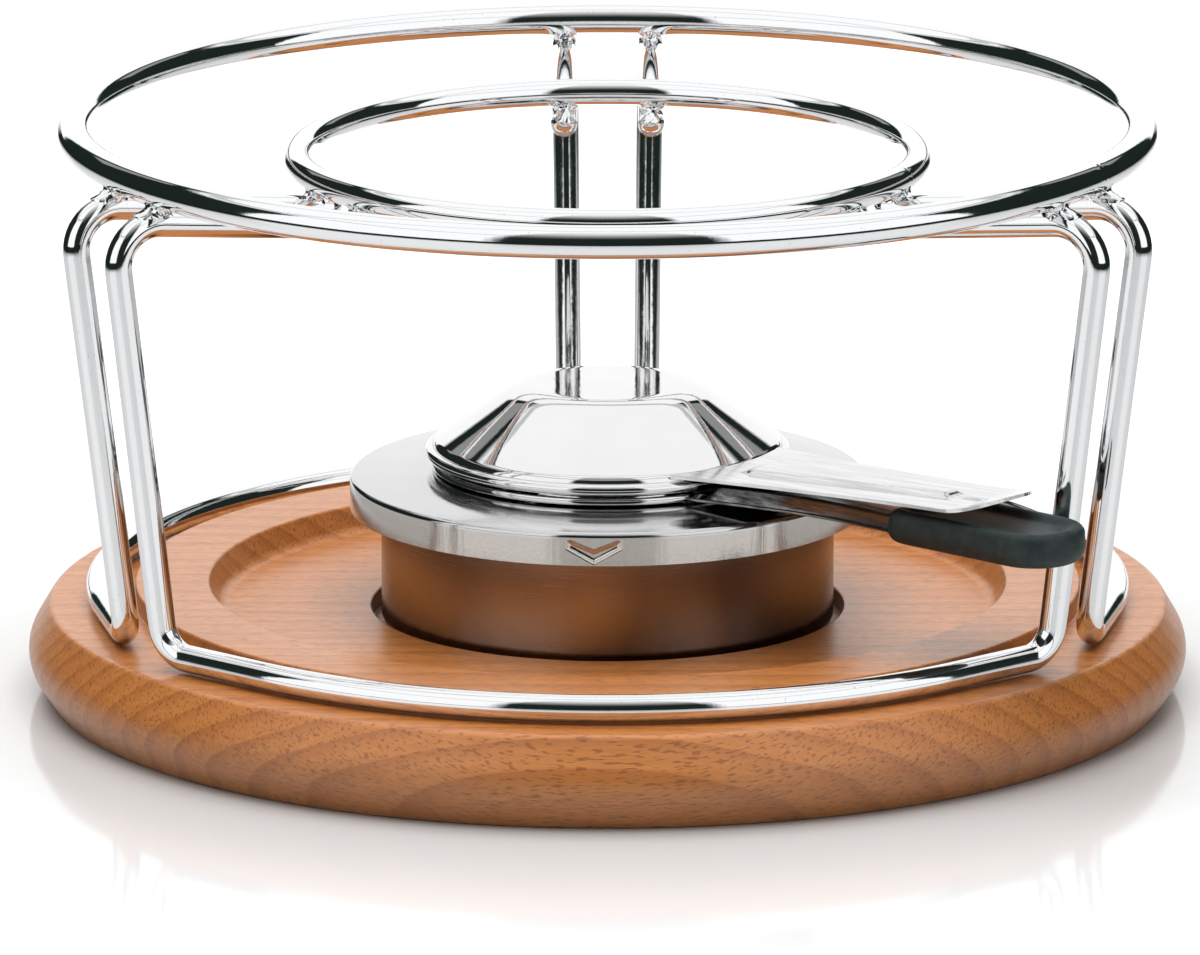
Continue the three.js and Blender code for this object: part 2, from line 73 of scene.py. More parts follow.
# ---------------------------------------------------------------- stand
WIRE_R = 2.7
RING_WIRE_R = 3.25
GAP = 0.3
OUTER_R = OUTER_RING[1].x - RING_WIRE_R
OUTER_Z = (OUTER_RING[0].z + OUTER_RING[1].z) / 2
INNER_R = INNER_RING[1].x - WIRE_R
INNER_Z = (INNER_RING[0].z + INNER_RING[1].z) / 2
LEG_PAIR_AZIMUTHS = (210, 330, 90)
ARC_R = 101.2
ARM_END_R = 58
TOP_CORNER_R = 115.3
FOOT_CORNER_R = 104
LEG_OFFSET_TOP = 8.8
LEG_OFFSET_FOOT = 7.9
TOP_BEND_R = 8
FOOT_BEND_R = 6
FOOT_Z = 18.2 + GAP + WIRE_R
OUTER_SEAM_AZIMUTH = 333.0
INNER_SEAM_AZIMUTH = 339.0


# ---------------------------------------------------------------- mesh helpers
def polar(radius, azimuth, z=0.0):
    a = math.radians(azimuth)
    return Vector((radius * math.cos(a), radius * math.sin(a), z))


def rounded(corners, closed=False, steps=6):
    """Corners (x, y, fillet radius) as a list of points, each corner rounded by its fillet."""
    points = []
    count = len(corners)
    for i, (x, y, fillet) in enumerate(corners):
        here = Vector((x, y))
        if fillet == 0 or (not closed and i in (0, count - 1)):
            points.append((x, y))
            continue
        before = Vector(corners[i - 1][:2]) - here
        after = Vector(corners[(i + 1) % count][:2]) - here
        half = before.angle(after) / 2
        cut = fillet / math.tan(half)
        centre = here + (before.normalized() + after.normalized()).normalized() * fillet / math.sin(half)
        start = here + before.normalized() * cut - centre
        end = here + after.normalized() * cut - centre
        turn = start.angle_signed(end)
        for k in range(steps + 1):
            c, s = math.cos(-turn * k / steps), math.sin(-turn * k / steps)
            points.append((centre.x + start.x * c - start.y * s, centre.y + start.x * s + start.y * c))
    return points


def make_piece(name, points, faces, body, material, replaces=(), sharp=35.0):
    """A smooth-shaded mesh from points in millimetres, riding on a CAD body."""
    mesh = bpy.data.meshes.new(name)
    mesh.from_pydata([Vector(p) * MM for p in points], [], faces)
    finish_mesh(mesh, sharp)
    obj = bpy.data.objects.new(name, mesh)
    bpy.context.scene.collection.objects.link(obj)
    mesh.materials.append(material)
    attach(obj, body)
    if replaces:
        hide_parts(*replaces)
    return obj


def finish_mesh(mesh, sharp):
    """Outward normals, no doubled points, and crisp shading only across real edges."""
    bm = bmesh.new()
    bm.from_mesh(mesh)
    bmesh.ops.remove_doubles(bm, verts=bm.verts, dist=1e-7)
    bmesh.ops.recalc_face_normals(bm, faces=bm.faces)
    limit = math.radians(sharp)
    for face in bm.faces:
        face.smooth = True
    for edge in bm.edges:
        edge.smooth = len(edge.link_faces) == 2 and edge.calc_face_angle(0) < limit
    bm.to_mesh(mesh)
    bm.free()


def lathe(profile, steps=240):
    """Points and faces of a closed profile [(radius, z), ...] turned about Z."""
    points, rings, faces = [], [], []
    for r, z in profile:
        if r < 1e-6:
            rings.append([len(points)] * steps)
            points.append((0, 0, z))
        else:
            rings.append(list(range(len(points), len(points) + steps)))
            points += [polar(r, 360 * i / steps, z) for i in range(steps)]
    for a, b in zip(rings, rings[1:] + rings[:1]):
        if a[0] == a[1] and b[0] == b[1]:
            continue
        for i in range(steps):
            j = (i + 1) % steps
            face = [a[i], a[j], b[j], b[i]]
            faces.append([v for n, v in enumerate(face) if v not in face[:n]])
    return points, faces


def loft(sections, closed_path=False):
    """Points and faces through closed sections of equally many points, capped if the path is open."""
    count = len(sections[0])
    points = [p for section in sections for p in section]
    faces = []
    rows = len(sections) if closed_path else len(sections) - 1
    for s in range(rows):
        this_row = s * count
        next_row = (s + 1) % len(sections) * count
        for i in range(count):
            j = (i + 1) % count
            faces.append((this_row + i, this_row + j, next_row + j, next_row + i))
    if not closed_path:
        faces.append(tuple(range(count)))
        faces.append(tuple(range(len(points) - count, len(points))))
    return points, faces


def tube_sections(path, radii, sides=32):
    """Round sections square to a path, turned as little as possible along it."""
    sections = []
    side = None
    for i, centre in enumerate(path):
        along = (path[min(i + 1, len(path) - 1)] - path[max(i - 1, 0)]).normalized()
        if side is None:
            side = along.orthogonal().normalized()
        side = (side - along * side.dot(along)).normalized()
        other = along.cross(side)
        ring = []
        for k in range(sides):
            a = 2 * math.pi * k / sides
            ring.append(centre + (side * math.cos(a) + other * math.sin(a)) * radii[i])
        sections.append(ring)
    return sections


def bend(a, b, c, radius, steps):
    """Points of the arc that rounds the corner at b of the path a-b-c."""
    to_a, to_c = (a - b).normalized(), (c - b).normalized()
    half = to_a.angle(to_c) / 2
    centre = b + (to_a + to_c).normalized() * radius / math.sin(half)
    start = b + to_a * radius / math.tan(half) - centre
    end = b + to_c * radius / math.tan(half) - centre
    first, last = start.normalized(), end.normalized()
    return [centre + first.slerp(last, k / steps) * radius for k in range(steps + 1)]


# ---------------------------------------------------------------- material helpers
class Finish:
    """A node material round one Principled shader."""

    def __init__(self, name, **constants):
        self.material = bpy.data.materials.new(name)
        self.material.use_nodes = True
        self.tree = self.material.node_tree
        self.tree.nodes.clear()
        self.output = self.tree.nodes.new("ShaderNodeOutputMaterial")
        self.shader = self.tree.nodes.new("ShaderNodeBsdfPrincipled")
        self.tree.links.new(self.shader.outputs[0], self.output.inputs[0])
        for socket, value in constants.items():
            self.set(self.shader, socket.replace("_", " "), value)

    def set(self, node, socket, value):
        target = node.inputs[socket]
        if isinstance(value, bpy.types.NodeSocket):
            self.tree.links.new(value, target)
        else:
            target.default_value = value

    def add(self, kind, output=0, settings=None, **inputs):
        node = self.tree.nodes.new("ShaderNode" + kind)
        for key, value in (settings or {}).items():
            setattr(node, key, value)
        for socket, value in inputs.items():
            number = socket[1:]
            self.set(node, int(number) if number.isdigit() else socket.replace("_", " "), value)
        return node.outputs[output]

    def math(self, operation, a, b=0.0):
        return self.add("Math", settings={"operation": operation}, _0=a, _1=b)

    def place(self, scale=(1, 1, 1), rotation=(0, 0, 0)):
        """Object coordinates in millimetres, turned and stretched."""
        point = self.add("TexCoord", output=3)
        turned = self.add("Mapping", Vector=point, Rotation=rotation, Scale=(1000, 1000, 1000))
        return self.add("Mapping", Vector=turned, Scale=scale)

    def noise(self, vector, detail=3.0, roughness=0.5):
        return self.add("TexNoise", Vector=vector, Scale=1.0, Detail=detail, Roughness=roughness)

    def ramp(self, value, stops):
        """A ramp from [(position, value), ...]."""
        socket = self.add("ValToRGB", Fac=value)
        ramp = socket.node.color_ramp
        while len(ramp.elements) < len(stops):
            ramp.elements.new(0.5)
        for element, (position, shade) in zip(ramp.elements, stops):
            element.position = position
            element.color = (shade, shade, shade, 1)
        return socket

    def mix(self, factor, a, b):
        node = self.tree.nodes.new("ShaderNodeMix")
        node.data_type = "RGBA"
        self.set(node, 0, factor)
        for index, value in ((6, a), (7, b)):
            fixed = value if isinstance(value, bpy.types.NodeSocket) else (*value, 1)
            self.set(node, index, fixed)
        return node.outputs[2]

    def bump(self, height, distance, normal=None):
        """A bump whose height of 1 stands the given distance in millimetres."""
        socket = self.add("Bump", Height=height, Distance=distance * MM)
        if normal is not None:
            self.set(socket.node, "Normal", normal)
        return socket


GRAIN_TILT = 38.0


def beech():
    """Oiled steamed beech: grain along X, growth bands, and the short dark ray flecks."""
    m = Finish("beech", Specular_IOR_Level=0.5, Coat_Weight=0.45, Coat_Roughness=0.28)
    tilt = (math.radians(-GRAIN_TILT), 0, 0)
    # After the tilt, Y runs out along the rays and Z along the growth rings.
    wander = m.noise(m.place((0.004, 0.02, 0.02), tilt), detail=2)
    radial = m.add("SeparateXYZ", output=1, Vector=m.place((1, 1, 1), tilt))
    distance = m.math("ADD", m.math("MULTIPLY", radial, 0.19), m.math("MULTIPLY", wander, 2.6))
    within_year = m.math("FRACT", distance)
    ring = m.ramp(within_year, [(0.0, 0.5), (0.06, 0.0), (0.55, 0.2), (0.9, 0.85), (1.0, 1.0)])
    streaks = m.noise(m.place((0.012, 0.9, 0.9), tilt), detail=5, roughness=0.65)
    fine = m.noise(m.place((0.12, 6.0, 6.0), tilt), detail=3, roughness=0.6)
    fleck_noise = m.noise(m.place((0.40, 1.2, 4.6), tilt), detail=1, roughness=0.3)
    flecks = m.ramp(fleck_noise, [(0.57, 0.0), (0.65, 1.0)])
    patch = m.noise(m.place((0.010, 0.04, 0.04), tilt), detail=2)

    shade = m.ramp(streaks, [(0.30, 0.0), (0.70, 1.0)])
    colour = m.mix(shade, (0.485, 0.182, 0.045), (0.395, 0.138, 0.030))
    colour = m.mix(m.math("MULTIPLY", ring, 0.80), colour, (0.300, 0.094, 0.019))
    warm = m.ramp(patch, [(0.35, 0.0), (0.7, 1.0)])
    colour = m.mix(m.math("MULTIPLY", warm, 0.25), colour, (0.50, 0.200, 0.062))
    grain = m.ramp(fine, [(0.45, 0.0), (0.7, 1.0)])
    colour = m.mix(m.math("MULTIPLY", grain, 0.20), colour, (0.25, 0.075, 0.018))
    colour = m.mix(m.math("MULTIPLY", flecks, 0.60), colour, (0.150, 0.044, 0.010))
    m.set(m.shader, "Base Color", colour)
    m.set(m.shader, "Roughness", m.ramp(streaks, [(0.2, 0.32), (0.8, 0.44)]))
    pores = m.math("SUBTRACT", m.math("MULTIPLY", fine, 0.35), flecks)
    m.set(m.shader, "Normal", m.bump(pores, 0.02))
    return m.material


def chrome():
    """Bright chromium plate over wire: clear reflections, a faint waviness and a few specks."""
    m = Finish("chrome_plate", Metallic=1.0)
    haze = m.noise(m.place((0.15, 0.15, 0.15)), detail=3)
    specks = m.noise(m.place((1.6, 1.6, 1.6)), detail=1)
    m.set(m.shader, "Roughness", m.ramp(haze, [(0.3, 0.035), (0.7, 0.075)]))
    pitted = m.ramp(specks, [(0.72, 0.0), (0.78, 0.5)])
    m.set(m.shader, "Base Color", m.mix(pitted, (0.86, 0.87, 0.88), (0.5, 0.5, 0.5)))
    m.set(m.shader, "Normal", m.bump(m.noise(m.place((0.35, 0.35, 0.35)), detail=2), 0.012))
    return m.material


def cut_steel():
    """Sheared wire ends under thin plating, with drag lines from the blade."""
    m = Finish("cut_wire_end", Metallic=1.0, Roughness=0.4)
    lines = m.noise(m.place((3.0, 3.0, 0.7)), detail=4, roughness=0.7)
    m.set(m.shader, "Base Color", m.mix(lines, (0.75, 0.75, 0.74), (0.40, 0.40, 0.38)))
    m.set(m.shader, "Normal", m.bump(lines, 0.25))
    return m.material


def polished_steel():
    """Polished stainless sheet: mirror gloss with a soft haze left by the buffing wheel."""
    m = Finish("polished_steel", Metallic=1.0)
    haze = m.noise(m.place((0.08, 0.08, 0.08)), detail=4)
    wheel = m.noise(m.place((0.9, 0.9, 0.9)), detail=2)
    m.set(m.shader, "Roughness", m.ramp(haze, [(0.3, 0.02), (0.7, 0.06)]))
    m.set(m.shader, "Base Color", m.mix(haze, (0.84, 0.84, 0.84), (0.76, 0.76, 0.76)))
    m.set(m.shader, "Normal", m.bump(wheel, 0.004))
    return m.material


def streaked_steel(name, bright, dark, roughness):
    """Pressed sheet of the handles, with rolling streaks that run along them."""
    m = Finish(name, Metallic=1.0)
    turn = (0, 0, math.radians(-HANDLE_AZIMUTH))
    streaks = m.noise(m.place((0.02, 0.9, 0.9), turn), detail=4, roughness=0.7)
    haze = m.noise(m.place((0.1, 0.1, 0.1)), detail=3)
    shade = m.ramp(streaks, [(0.35, 0.0), (0.65, 1.0)])
    m.set(m.shader, "Base Color", m.mix(shade, bright, dark))
    m.set(m.shader, "Roughness", m.ramp(haze, [(0.3, roughness * 0.7), (0.7, roughness * 1.3)]))
    m.set(m.shader, "Normal", m.bump(streaks, 0.015))
    return m.material


def satin_plate():
    """Cover plate: stainless sheet, a little duller and greyer than the snuffer."""
    m = Finish("satin_plate", Metallic=1.0)
    haze = m.noise(m.place((0.06, 0.06, 0.06)), detail=4)
    m.set(m.shader, "Roughness", m.ramp(haze, [(0.3, 0.08), (0.7, 0.15)]))
    m.set(m.shader, "Base Color", m.mix(haze, (0.66, 0.66, 0.67), (0.57, 0.57, 0.58)))
    m.set(m.shader, "Normal", m.bump(m.noise(m.place((0.7, 0.7, 0.7)), detail=2), 0.004))
    return m.material


def rolled_skirt():
    """Edge of the drawn cover: polished, with the faint upright waves left by drawing."""
    m = Finish("drawn_skirt", Metallic=1.0)
    waves = m.noise(m.place((0.55, 0.55, 0.05)), detail=2)
    grit = m.noise(m.place((2.2, 2.2, 2.2)), detail=3, roughness=0.7)
    m.set(m.shader, "Roughness", m.ramp(grit, [(0.3, 0.07), (0.7, 0.16)]))
    m.set(m.shader, "Base Color", m.mix(grit, (0.66, 0.62, 0.58), (0.47, 0.44, 0.40)))
    drawn = m.bump(waves, 0.05)
    m.set(m.shader, "Normal", m.bump(grit, 0.012, normal=drawn))
    return m.material


def brushed_steel():
    """Cup wall: stainless sheet brushed round its circumference; its colour is darkened and warmed as
    painted shade and painted reflection of the wood, with broad darker bands of painted reflection.
    """
    m = Finish("brushed_cup", Metallic=1.0, Anisotropic=0.6)
    lines = m.noise(m.place((0.05, 0.05, 7.0)), detail=5, roughness=0.7)
    broad = m.noise(m.place((0.035, 0.035, 0.02)), detail=1)
    m.set(m.shader, "Roughness", m.ramp(lines, [(0.25, 0.17), (0.75, 0.30)]))
    # Painted reflection: broad darker upright bands, on a wall colour darkened and warmed as painted
    # shade and painted reflection of the wood.
    painted_reflection_bands = m.ramp(broad, [(0.40, 0.0), (0.60, 1.0)])
    m.set(m.shader, "Base Color", m.mix(painted_reflection_bands, (0.38, 0.34, 0.31), (0.20, 0.18, 0.17)))
    m.set(m.shader, "Normal", m.bump(lines, 0.012))
    return m.material


def tinplate():
    """Fuel tin: bright tinplate with a light crystalline mottle."""
    m = Finish("tinplate", Metallic=1.0)
    cells = m.add("TexVoronoi", Vector=m.place((0.22, 0.22, 0.22)), Scale=1.0)
    m.set(m.shader, "Base Color", m.mix(cells, (0.76, 0.77, 0.78), (0.60, 0.61, 0.63)))
    m.set(m.shader, "Roughness", m.ramp(cells, [(0.1, 0.24), (0.9, 0.38)]))
    return m.material


def silicone():
    """Grip: near-black moulded silicone, matt, with a fine moulded texture."""
    m = Finish("silicone", Specular_IOR_Level=0.45)
    texture = m.noise(m.place((3.5, 3.5, 3.5)), detail=3)
    dust = m.noise(m.place((0.5, 0.5, 0.5)), detail=4)
    dusty = m.ramp(dust, [(0.4, 0.0), (0.75, 1.0)])
    m.set(m.shader, "Base Color", m.mix(dusty, (0.007, 0.015, 0.015), (0.017, 0.029, 0.028)))
    m.set(m.shader, "Roughness", m.ramp(texture, [(0.3, 0.42), (0.7, 0.58)]))
    m.set(m.shader, "Normal", m.bump(texture, 0.02))
    return m.material


BEECH = beech()
CHROME = chrome()
CUT = cut_steel()
POLISHED = polished_steel()
SATIN = satin_plate()
# Painted shade: the channel is the same pressed steel as the strip, given far darker colours for the
# shade under the snuffer's strip.
PAINTED_SHADE_ARM_STEEL = streaked_steel("arm_steel_painted_shade", (0.30, 0.31, 0.31), (0.05, 0.055, 0.055), 0.16)
STRIP_STEEL = streaked_steel("strip_steel", (0.80, 0.80, 0.80), (0.58, 0.58, 0.58), 0.10)
SKIRT = rolled_skirt()
BRUSHED = brushed_steel()
TINPLATE = tinplate()
SILICONE = silicone()


# ---------------------------------------------------------------- wood base
def build_base():
    max_r, top = BASE[1].x, BASE[1].z
    plateau_r, ledge_z, dish_r, dish_z, well_r, well_z = 94, 18.2, 78.8, 16.8, 47, 13
    profile = rounded([
        (0, well_z, 0), (well_r, well_z, 0.3), (well_r, dish_z, 0.5), (dish_r - 1.8, dish_z, 3.0),
        (dish_r + 0.6, top, 0.8), (plateau_r, top, 0.5), (plateau_r, ledge_z, 0.25),
        (max_r - 4.4, ledge_z, 1.6), (max_r + 1.4, 8.5, 8.0), (max_r - 4.2, 0, 1.0), (0, 0, 0),
    ], steps=10)
    points, faces = lathe(profile, 300)
    make_piece("turned_base", points, faces, "base", BEECH, ["wood_base"], sharp=50)


# ---------------------------------------------------------------- wire stand
def pair_point(azimuth, along, across, z):
    out = polar(1, azimuth)
    return out * along + UP.cross(out) * across + UP * z


OUTER_REST = OUTER_Z - RING_WIRE_R - GAP - WIRE_R
INNER_REST = INNER_Z - WIRE_R - GAP - WIRE_R


def arm_height(along):
    slope = (OUTER_REST - INNER_REST) / (OUTER_R - INNER_R)
    return INNER_REST + slope * (along - INNER_R)


def leg_points(azimuth, side):
    return [
        pair_point(azimuth, ARM_END_R, side * LEG_OFFSET_TOP, arm_height(ARM_END_R)),
        pair_point(azimuth, TOP_CORNER_R, side * LEG_OFFSET_TOP, arm_height(TOP_CORNER_R)),
        pair_point(azimuth, FOOT_CORNER_R, side * LEG_OFFSET_FOOT, FOOT_Z),
    ]


def loop_path(from_azimuth, to_azimuth):
    """Centre line of one loop: arm, leg, arc round the base, leg, arm."""
    start_end, start_top, start_foot = leg_points(from_azimuth, 1)
    finish_end, finish_top, finish_foot = leg_points(to_azimuth, -1)
    straight = math.degrees(math.acos(ARC_R / start_foot.xy.length))
    arc_start = math.degrees(math.atan2(start_foot.y, start_foot.x)) + straight
    arc_end = math.degrees(math.atan2(finish_foot.y, finish_foot.x)) - straight
    if arc_end < arc_start:
        arc_end += 360
    steps = 72
    arc = [polar(ARC_R, arc_start + (arc_end - arc_start) * i / steps, FOOT_Z) for i in range(steps + 1)]
    return [
        start_end,
        *bend(start_end, start_top, start_foot, TOP_BEND_R, 14),
        *bend(start_top, start_foot, arc[0], FOOT_BEND_R, 12),
        *arc,
        *bend(arc[-1], finish_foot, finish_top, FOOT_BEND_R, 12),
        *bend(finish_foot, finish_top, finish_end, TOP_BEND_R, 14),
        finish_end,
    ]


def build_loop(name, node, from_azimuth, to_azimuth):
    path = loop_path(from_azimuth, to_azimuth)
    edge = 0.35
    first = path[0] + (path[1] - path[0]).normalized() * edge
    last = path[-1] + (path[-2] - path[-1]).normalized() * edge
    path = [path[0], first, *path[1:-1], last, path[-1]]
    radii = [WIRE_R - edge] + [WIRE_R] * (len(path) - 2) + [WIRE_R - edge]
    points, faces = loft(tube_sections(path, radii))
    loop = make_piece(name, points, faces, "stand", CHROME, [node], sharp=30)
    loop.data.materials.append(CUT)
    for face in loop.data.polygons:
        if len(face.vertices) > 4:
            face.material_index = 1


def build_ring(name, node, ring_r, ring_z, wire_r, seam_azimuth):
    """A hoop butt-welded at its seam, where a thin raised line of metal runs round the wire."""
    seam_half = 1.6
    azimuths = [seam_azimuth + seam_half + (360 - 2 * seam_half) * i / 240 for i in range(241)]
    azimuths += [seam_azimuth + seam_half * (i / 12 - 1) for i in range(1, 24)]
    azimuths = sorted(set(round(a % 360, 5) for a in azimuths))
    sides = 32
    sections = []
    for azimuth in azimuths:
        off = (azimuth - seam_azimuth + 180) % 360 - 180
        along = math.radians(off) * ring_r
        section = []
        for k in range(sides):
            a = 2 * math.pi * k / sides
            wobble = 0.25 * math.sin(3 * a + 1) + 0.12 * math.sin(7 * a)
            bead = 0.10 * math.exp(-(((along - wobble) / 0.32) ** 2))
            dip = -0.07 * math.exp(-(((along - wobble) / 1.3) ** 2))
            r = wire_r + bead + dip
            section.append(polar(ring_r + r * math.cos(a), azimuth, ring_z + r * math.sin(a)))
        sections.append(section)
    points, faces = loft(sections, closed_path=True)
    make_piece(name, points, faces, "stand", CHROME, [node], sharp=60)


def smooth_min(a, b, blend):
    h = max(blend - abs(a - b), 0.0) / blend
    return min(a, b) - h * h * blend / 4


def weld_shape(centre, arm_start, arm_dir, ring_r, ring_z, ring_wire_r, seed):
    """Metal squeezed out between a ring and an arm, found along rays from their contact."""

    def inside(p):
        to_arm = (p - arm_start).cross(arm_dir).length - WIRE_R
        to_ring = math.hypot(p.xy.length - ring_r, p.z - ring_z) - ring_wire_r
        off = (p - centre).length
        rough = noise.fractal(p * 0.8 + Vector((seed, 0, 0)), 0.7, 2.1, 3) * 0.22
        return smooth_min(to_arm, to_ring, 2.4) - 0.12 - rough + 0.03 * off * off

    bm = bmesh.new()
    bmesh.ops.create_icosphere(bm, subdivisions=4, radius=1)
    for v in bm.verts:
        ray = v.co.normalized()
        reach = 0.4
        while reach < 5.5 and inside(centre + ray * reach) < 0:
            reach += 0.12
        v.co = centre + ray * reach
    points = [v.co.copy() for v in bm.verts]
    faces = [tuple(v.index for v in f.verts) for f in bm.faces]
    bm.free()
    return points, faces


def build_welds(name, ring_r, ring_z, ring_wire_r):
    """The six welds between one ring and the arms."""
    points, faces = [], []
    seed = 1.0
    for azimuth in LEG_PAIR_AZIMUTHS:
        for side in (-1, 1):
            arm_end, arm_corner, _ = leg_points(azimuth, side)
            arm_dir = (arm_corner - arm_end).normalized()
            along = math.sqrt(ring_r ** 2 - LEG_OFFSET_TOP ** 2)
            low = pair_point(azimuth, along, side * LEG_OFFSET_TOP, arm_height(along) + WIRE_R)
            centre = low + UP * GAP / 2
            new_points, new_faces = weld_shape(
                centre, arm_end, arm_dir, ring_r, ring_z, ring_wire_r, seed * 17)
            faces += [tuple(i + len(points) for i in face) for face in new_faces]
            points += new_points
            seed += 1
    make_piece(name, points, faces, "stand", CHROME, sharp=70)


# ---------------------------------------------------------------- burner
def build_cup():
    bottom, rim, flange_r = CUP[0].z, CUP[1].z, CUP[1].x
    outer, wall = 45, 1
    profile = rounded([
        (0, bottom + wall, 0), (outer - wall, bottom + wall, 1.6), (outer - wall, rim, 0.9),
        (flange_r, rim, 0.4), (flange_r, rim - wall, 0.4), (outer, rim - wall, 0.4),
        (outer, bottom, 2.4), (0, bottom, 0),
    ])
    points, faces = lathe(profile)
    make_piece("cup_shell", points, faces, "burner", BRUSHED, ["burner_cup"])


def build_tin():
    """Fuel tin: seamed foot, three pressed beads round the wall, curled mouth."""
    bottom, top, radius = TIN[0].z, TIN[1].z, TIN[1].x
    wall, mouth = 0.8, 36
    side = []
    for i in range(25):
        z = top - 3 - (top - bottom - 6) * i / 24
        side.append((radius - 0.35 + 0.3 * math.cos(2 * math.pi * 3 * i / 24), z))
    profile = [
        (0, bottom + wall + 1.2), (radius - 3, bottom + wall + 1.2), (radius - 2.2, bottom + wall),
        (radius - wall - 0.7, bottom + wall), (radius - wall - 0.7, top - wall),
        *rounded([(mouth + 1.4, top - wall, 0), (mouth + 0.8, top - 1.9, 0.5), (mouth, top - 1.9, 0.4),
                  (mouth, top, 0.8), (radius, top, 0.6), (radius, top - 2, 0)]),
        *side, (radius, bottom + 2), (radius, bottom + 0.3), (radius - 0.3, bottom),
        (radius - 2, bottom), (radius - 2.6, bottom + 1.0), (0, bottom + 1.0),
    ]
    points, faces = lathe(profile, 160)
    make_piece("tin_can", points, faces, "burner", TINPLATE, ["fuel_tin"])


# ---------------------------------------------------------------- cover
AIR_HOLE_R = 2.4
AIR_HOLE_COUNT = 6
AIR_HOLE_CIRCLE_R = 31.2
MARK_AZIMUTH = 267.0


def drill_air_holes(obj, z):
    """Cuts the six air holes through a turned plate."""
    cutter_mesh = bpy.data.meshes.new("drill")
    bm = bmesh.new()
    for i in range(AIR_HOLE_COUNT):
        place = Matrix.Translation(polar(AIR_HOLE_CIRCLE_R, 360 * i / AIR_HOLE_COUNT, z) * MM)
        bmesh.ops.create_cone(bm, cap_ends=True, segments=40, radius1=AIR_HOLE_R * MM,
                              radius2=AIR_HOLE_R * MM, depth=4 * MM, matrix=place)
    bm.to_mesh(cutter_mesh)
    bm.free()
    cutter = bpy.data.objects.new("drill", cutter_mesh)
    bpy.context.scene.collection.objects.link(cutter)
    cut = obj.modifiers.new("air_holes", "BOOLEAN")
    cut.operation = "DIFFERENCE"
    cut.solver = "EXACT"
    cut.object = cutter
    bpy.context.view_layer.update()
    evaluated = obj.evaluated_get(bpy.context.evaluated_depsgraph_get())
    cut_mesh = bpy.data.meshes.new_from_object(evaluated)
    obj.modifiers.clear()
    old = obj.data
    name = old.name
    obj.data = cut_mesh
    bpy.data.meshes.remove(old)
    cut_mesh.name = name
    bpy.data.objects.remove(cutter)
    bpy.data.meshes.remove(cutter_mesh)


def mark_depth(across, up):
    """How far the chevron is pressed in at a place on the skirt, from 0 to 1."""
    half_width, rise, thick_end, thick_middle = 5.5, 3.0, 2.2, 3.0
    lean = min(abs(across) / half_width, 1.0)
    low = rise * lean
    high = low + thick_middle + (thick_end - thick_middle) * lean
    groove = 1.15
    room = min(up - low, high - up, half_width - abs(across))
    t = min(max(room / groove, 0.0), 1.0)
    return math.sin(math.pi / 2 * t)


SKIRT_R = 51.2
COVER_SHEET = 0.8
BAND_TOP_Z = 42.2


def build_cover():
    """Plate with its mouth and sloping border, and the inner face of the skirt."""
    plate_z, skirt_z = COVER[1].z, COVER[0].z
    mouth, flat_r, border_z = 26, 38.0, 43.4
    behind_band = SKIRT_R - 0.7
    inside_r = SKIRT_R - COVER_SHEET - 0.45
    profile = rounded([
        (mouth, plate_z - COVER_SHEET, 0), (mouth, plate_z, 0.3), (flat_r, plate_z, 30),
        (SKIRT_R, border_z, 1.0), (SKIRT_R, BAND_TOP_Z - 0.2, 0), (behind_band, BAND_TOP_Z - 0.4, 0),
        (behind_band, skirt_z + 0.1, 0), (inside_r, skirt_z + 0.1, 0), (inside_r, border_z - 0.9, 0.6),
        (flat_r, plate_z - COVER_SHEET, 10),
    ], steps=8)
    points, faces = lathe(profile, 300)
    plate = make_piece("cover_plate", points, faces, "cover", SATIN, ["burner_cover"])
    drill_air_holes(plate, plate_z)


def build_skirt_band():
    """The skirt's outer face as its own fine grid, so that the chevron is real relief."""
    skirt_z = COVER[0].z
    proud = 0.02
    press, mark_low = 0.62, skirt_z + 0.3
    fine = 12.0
    azimuths = [MARK_AZIMUTH - fine + 2 * fine * i / 160 for i in range(160)]
    azimuths += [MARK_AZIMUTH + fine + (360 - 2 * fine) * i / 180 for i in range(180)]
    heights = [skirt_z + (BAND_TOP_Z - skirt_z) * k / 44 for k in range(45)]
    sections = []
    for azimuth in azimuths:
        across = math.radians((azimuth - MARK_AZIMUTH + 180) % 360 - 180) * SKIRT_R
        section = []
        for z in heights:
            pressed = press * mark_depth(across, z - mark_low)
            section.append(polar(SKIRT_R + proud - pressed, azimuth, z))
        for z in (BAND_TOP_Z, skirt_z):
            section.append(polar(SKIRT_R - COVER_SHEET, azimuth, z))
        sections.append(section)
    points, faces = loft(sections, closed_path=True)
    make_piece("cover_skirt", points, faces, "cover", SKIRT, sharp=60)


def build_collar():
    tube_r, low, high = COLLAR[1].x - 1.8, COLLAR[0].z, COLLAR[1].z
    profile = rounded([
        (tube_r - 1.2, low, 0.3), (tube_r - 1.2, high, 0.5), (tube_r + 1.8, high - 0.1, 0.3),
        (tube_r + 1.8, high - 0.8, 0.1), (tube_r, high - 0.8, 0.1), (tube_r, low + 0.8, 0.1),
        (tube_r + 1.8, low + 0.8, 0.1), (tube_r + 1.8, low, 0.3),
    ], closed=True)
    points, faces = lathe(profile, 200)
    make_piece("collar_eyelet", points, faces, "cover", POLISHED, ["cover_collar"])


# ---------------------------------------------------------------- regulator
LIP_R = 35.0
CHANNEL_ROOT_ANGLE = 22.0


def build_regulator_ring():
    low, high = REGULATOR[0].z, REGULATOR[1].z
    inner = 26.4
    profile = rounded([
        (inner, low, 0.2), (inner, low + 1, 0.2), (LIP_R - 0.9, low + 1, 0.5), (LIP_R - 0.9, high, 0.42),
        (LIP_R, high, 0.42), (LIP_R, low, 0.7),
    ], closed=True)
    points, faces = lathe(profile)
    ring = make_piece("regulator_disc", points, faces, "regulator", POLISHED,
                      ["regulator_ring"])
    drill_air_holes(ring, low + 0.5)


ROOT_TOP_Z = 46.75


